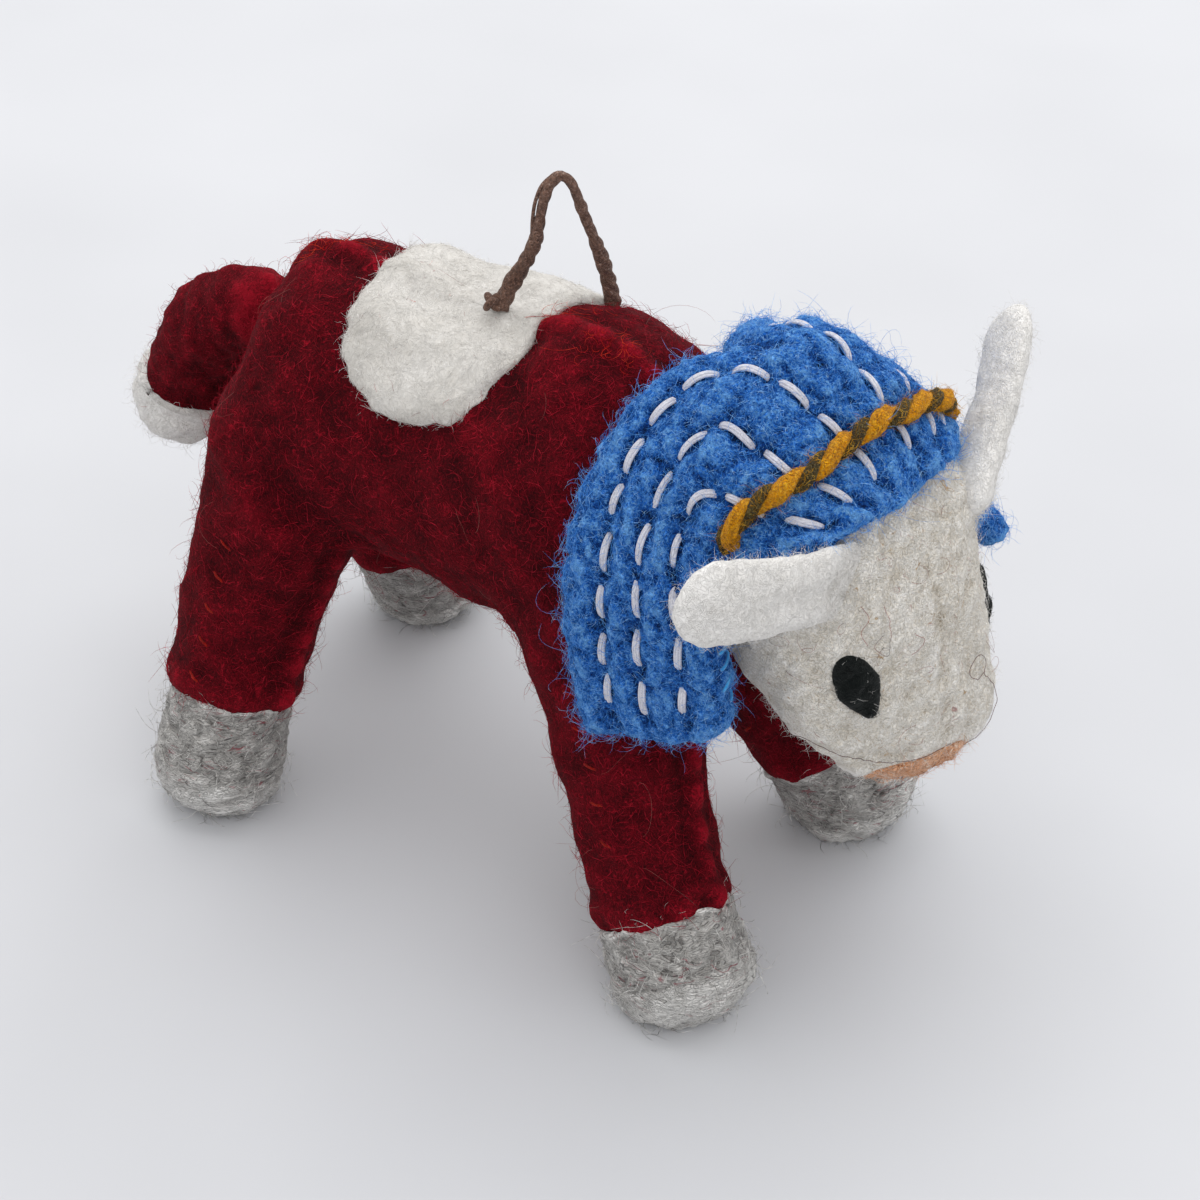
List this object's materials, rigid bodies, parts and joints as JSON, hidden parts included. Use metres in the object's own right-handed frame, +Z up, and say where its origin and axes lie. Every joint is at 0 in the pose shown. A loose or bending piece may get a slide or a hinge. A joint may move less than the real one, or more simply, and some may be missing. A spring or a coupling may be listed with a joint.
{
  "type": "felt christmas ornament",
  "caption": "Stuffed felt animal ornament on splayed legs, with a quilted striped headcloth, a saddle patch, a curved tail and a stiff cord loop to hang it by.",
  "frame": {"origin": "on the floor under the middle of the animal without its cord loop", "axes": "+X to the nose, +Y to the animal's left, +Z up"},
  "size_m": [0.1182, 0.0652, 0.0847],
  "materials": {
    "coat": "matte wool felt",
    "hoof": "matte felted wool",
    "white": "matte wool felt",
    "black": "matte wool felt",
    "peach": "matte wool felt",
    "cloth": "matte wool felt",
    "thread": "satin cotton thread",
    "yarn": "matte wool yarn",
    "cord": "satin cord",
    "filling": "matte wool filling"
  },
  "bodies": {
    "animal": {"trunk_panel_right": "coat", "trunk_panel_left": "coat", "belly_panel": "coat", "trunk_stuffing": "filling", "leg_front_right_outer": "coat", "leg_front_right_inner": "coat", "leg_front_right_stuffing": "filling", "hoof_front_right": "hoof", "leg_front_left_outer": "coat", "leg_front_left_inner": "coat", "leg_front_left_stuffing": "filling", "hoof_front_left": "hoof", "leg_rear_right_outer": "coat", "leg_rear_right_inner": "coat", "leg_rear_right_stuffing": "filling", "hoof_rear_right": "hoof", "leg_rear_left_outer": "coat", "leg_rear_left_inner": "coat", "leg_rear_left_stuffing": "filling", "hoof_rear_left": "hoof", "head_panel_right": "white", "head_panel_left": "white", "head_stuffing": "filling", "nose_patch": "peach", "eye_right": "black", "eye_left": "black", "headcloth": "cloth", "stitch_row_right_1": "thread", "stitch_row_right_2": "thread", "stitch_row_right_3": "thread", "stitch_row_left_1": "thread", "stitch_row_left_2": "thread", "stitch_row_left_3": "thread", "head_band": "yarn", "saddle_patch": "white"},
    "ear_right": {"ear_right": "white"},
    "ear_left": {"ear_left": "white"},
    "tail": {"tail": "coat", "tail_tip": "white"},
    "loop": {"hanging_loop": "cord"}
  },
  "joints": [
    {"name": "ear_right_fold", "type": "hinge", "parent": "animal", "child": "ear_right", "pos_m": [0.04763, -0.01474, 0.05985], "axis": [0.063, 0.2296, 0.9712], "range_deg": [-8, 28], "stiffness_Nm_per_rad": 0.0005},
    {"name": "ear_left_fold", "type": "hinge", "parent": "animal", "child": "ear_left", "pos_m": [0.04783, 0.0155, 0.06027], "axis": [-0.5885, 0.2911, -0.7542], "range_deg": [-8, 28], "stiffness_Nm_per_rad": 0.0005},
    {"name": "tail_lift", "type": "hinge", "parent": "animal", "child": "tail", "pos_m": [-0.04038, 0.00044, 0.0565], "axis": [0, 1, 0], "range_deg": [-6, 40], "stiffness_Nm_per_rad": 0.002},
    {"name": "loop_swing", "type": "hinge", "parent": "animal", "child": "loop", "pos_m": [-0.00288, 0.00004, 0.0678], "axis": [0.5847, 0.7674, -0.2631], "range_deg": [-45, 45], "stiffness_Nm_per_rad": 0.0002}
  ]
}
